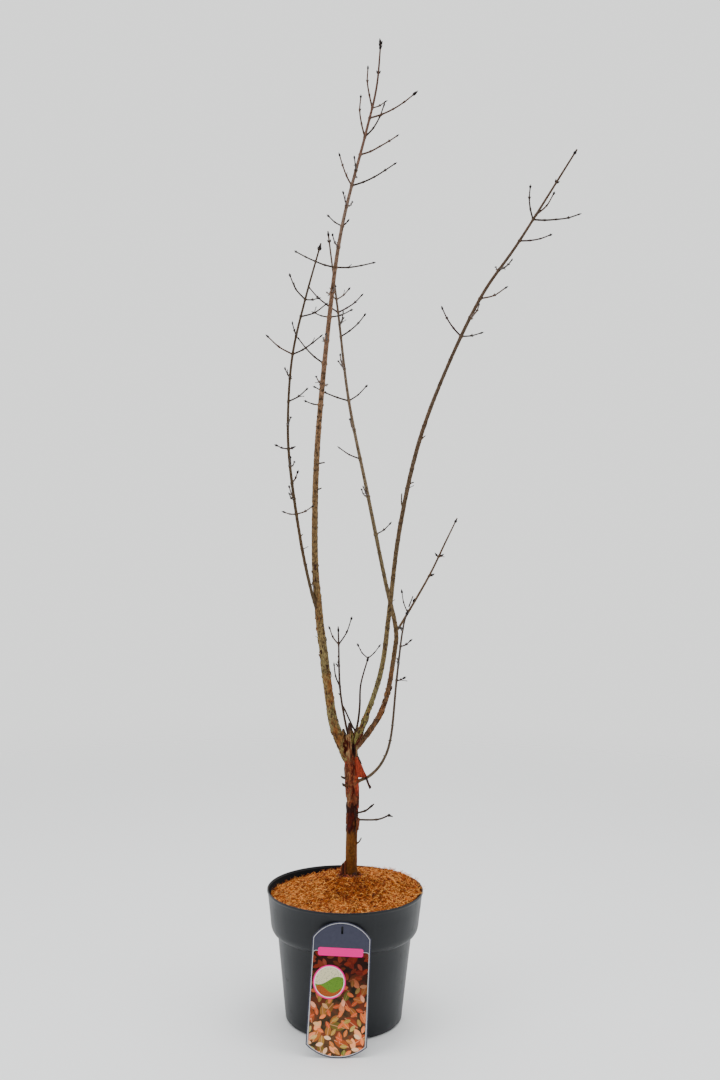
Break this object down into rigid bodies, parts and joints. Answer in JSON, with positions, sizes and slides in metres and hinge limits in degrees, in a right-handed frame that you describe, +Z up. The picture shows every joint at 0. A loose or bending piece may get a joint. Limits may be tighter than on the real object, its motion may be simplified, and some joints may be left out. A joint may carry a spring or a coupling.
{
  "type": "potted paperbark maple",
  "caption": "Young bare winter maple with peeling cinnamon bark, forked low into slender boughs and opposite twigs, in a round nursery pot with coir mat and care label.",
  "frame": {"origin": "centre of the pot's flat underside", "axes": "+Z up along the pot's axis, -Y towards the front where the care label leans, +X to the right as the front is seen"},
  "size_m": [0.478, 0.3301, 1.5411],
  "materials": {
    "pot": "satin moulded polypropylene, near black with a blue-grey sheen",
    "growing_medium": "dark moist potting compost of bark and peat",
    "coir_mat": "matted orange-brown coconut fibre",
    "care_label": null,
    "trunk_bark": "papery cinnamon bark peeling in flakes over dark inner bark",
    "bough_bark": "young olive to chestnut bark with small corky flakes",
    "twigs": "smooth dark brown young wood"
  },
  "bodies": {
    "root": {"pot": "pot", "growing_medium": "growing_medium", "coir_mat": "coir_mat", "care_label": "care_label", "trunk": "trunk_bark", "leader": "bough_bark", "left_stem": "bough_bark", "right_bough": "bough_bark", "middle_bough": "bough_bark", "side_branch": "bough_bark", "low_branch": "bough_bark", "leader_twigs": "twigs", "left_stem_twigs": "twigs", "right_bough_twigs": "twigs", "middle_bough_twigs": "twigs", "side_branch_twigs": "twigs", "low_branch_twigs": "twigs", "front_shoot_twigs": "twigs", "back_shoot_twigs": "twigs", "upper_sprig_twigs": "twigs", "lower_sprig_twigs": "twigs"}
  },
  "joints": []
}
